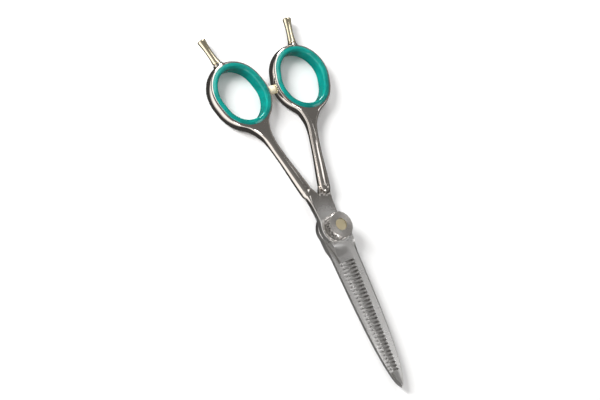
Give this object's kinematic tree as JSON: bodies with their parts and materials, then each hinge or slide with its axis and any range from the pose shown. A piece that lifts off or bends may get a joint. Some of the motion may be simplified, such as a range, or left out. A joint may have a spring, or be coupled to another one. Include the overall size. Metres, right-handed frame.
{
  "type": "thinning shears",
  "caption": "Hairdresser's thinning shears: comb blade over a plain cutting blade, tension dial at the pivot, two ringed handles with soft teal inserts and a finger rest on each ring.",
  "frame": {"origin": "on the pivot axis, in the flat back face of the pivot bolt's head, which the shears lie on", "axes": "+Z is the pivot axis, from the back of the bolt to the tension dial; +Y runs from the pivot to the blade tips; the finger rings lie towards -Y, the comb half's ring on the +X side"},
  "size_m": [0.0568, 0.1525, 0.0092],
  "materials": {
    "blade_steel": "fine satin, ground bevels",
    "handle_steel": "polished",
    "teal_silicone": "glossy soft",
    "pale_gold": "polished pale gold plate",
    "cream_silicone": "soft satin",
    "bush_brass": "turned",
    "pivot_steel": "turned",
    "spring_steel": "plain",
    "dial_steel": "polished, turned face",
    "white_acetal": "plain"
  },
  "bodies": {
    "cutting_half": {"cutting_blade": "blade_steel", "cutting_handle": "handle_steel", "cutting_ring_insert": "teal_silicone", "bumper_seat": "pale_gold", "bumper_pad": "cream_silicone", "pivot_bolt": "pivot_steel", "ride_washer": "white_acetal", "thrust_washer": "white_acetal", "dish_spring": "spring_steel", "click_plate": "pivot_steel", "lock_screw": "pale_gold"},
    "comb_half": {"comb_blade": "blade_steel", "comb_handle": "handle_steel", "comb_ring_insert": "teal_silicone", "pivot_bush": "bush_brass"},
    "tension_dial": {"tension_dial": "dial_steel", "detent_balls": "pivot_steel", "detent_springs": "spring_steel"},
    "comb_finger_rest": {"comb_finger_rest": "pale_gold"},
    "cutting_finger_rest": {"cutting_finger_rest": "pale_gold"}
  },
  "joints": [
    {"name": "blade_pivot", "type": "hinge", "parent": "cutting_half", "child": "comb_half", "pos_m": [0, 0, 0.0028], "axis": [0, 0, 1], "range_deg": [0, 110]},
    {"name": "dial_turn", "type": "hinge", "parent": "cutting_half", "child": "tension_dial", "pos_m": [0, 0, 0.0075], "axis": [0, 0, 1], "range_deg": [-90, 90]},
    {"name": "comb_rest_screw", "type": "hinge", "parent": "comb_half", "child": "comb_finger_rest", "pos_m": [0, 0, 0.0028], "axis": [0.2402, -0.9707, 0], "continuous": true},
    {"name": "cutting_rest_screw", "type": "hinge", "parent": "cutting_half", "child": "cutting_finger_rest", "pos_m": [0, 0, 0.0028], "axis": [-0.2402, -0.9707, 0], "continuous": true}
  ]
}
